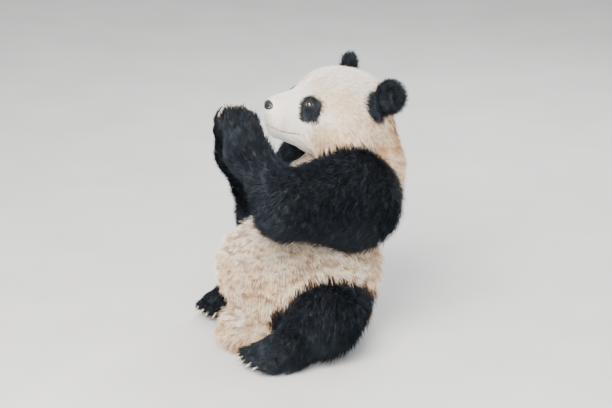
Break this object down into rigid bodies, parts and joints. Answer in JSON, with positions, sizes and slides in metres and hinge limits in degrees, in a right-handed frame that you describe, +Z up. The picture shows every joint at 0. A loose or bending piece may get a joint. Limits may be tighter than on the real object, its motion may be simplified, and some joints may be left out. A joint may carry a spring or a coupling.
{
  "type": "giant panda model",
  "caption": "Life-size model of a young adult giant panda sitting on its rump with both hind legs forward, both forepaws raised together in front of its muzzle",
  "frame": {"origin": "on the floor, under the seat, at the middle of the flat that the rump rests on", "axes": "+X to the animal's left, -Y the way its body faces, +Z up"},
  "size_m": [0.7618, 0.6467, 0.8519],
  "materials": {
    "pale_fur": "long matt cream hair, whitest on the head and tan on the neck and lower belly",
    "black_fur": "long black hair with a faint blue sheen, brown where it meets the cream",
    "nose_leather": "bare black pebbled skin, slightly moist",
    "eye": "wet dark brown eyeball with a clear glossy cornea",
    "claw_horn": "smooth semi-gloss horn, paler at the tip"
  },
  "bodies": {
    "root": {"head": "pale_fur", "neck": "pale_fur", "trunk": "pale_fur", "tail": "pale_fur", "chest": "black_fur", "nose": "nose_leather", "left_eye": "eye", "right_eye": "eye", "left_ear": "black_fur", "right_ear": "black_fur", "left_upper_arm": "black_fur", "left_forearm": "black_fur", "left_hand": "black_fur", "left_thigh": "black_fur", "left_shin": "black_fur", "left_foot": "black_fur", "left_hand_claw_1": "claw_horn", "left_hand_claw_2": "claw_horn", "left_hand_claw_3": "claw_horn", "left_hand_claw_4": "claw_horn", "left_hand_claw_5": "claw_horn", "left_foot_claw_1": "claw_horn", "left_foot_claw_2": "claw_horn", "left_foot_claw_3": "claw_horn", "left_foot_claw_4": "claw_horn", "left_foot_claw_5": "claw_horn", "right_upper_arm": "black_fur", "right_forearm": "black_fur", "right_hand": "black_fur", "right_thigh": "black_fur", "right_shin": "black_fur", "right_foot": "black_fur", "right_hand_claw_1": "claw_horn", "right_hand_claw_2": "claw_horn", "right_hand_claw_3": "claw_horn", "right_hand_claw_4": "claw_horn", "right_hand_claw_5": "claw_horn", "right_foot_claw_1": "claw_horn", "right_foot_claw_2": "claw_horn", "right_foot_claw_3": "claw_horn", "right_foot_claw_4": "claw_horn", "right_foot_claw_5": "claw_horn"}
  },
  "joints": []
}
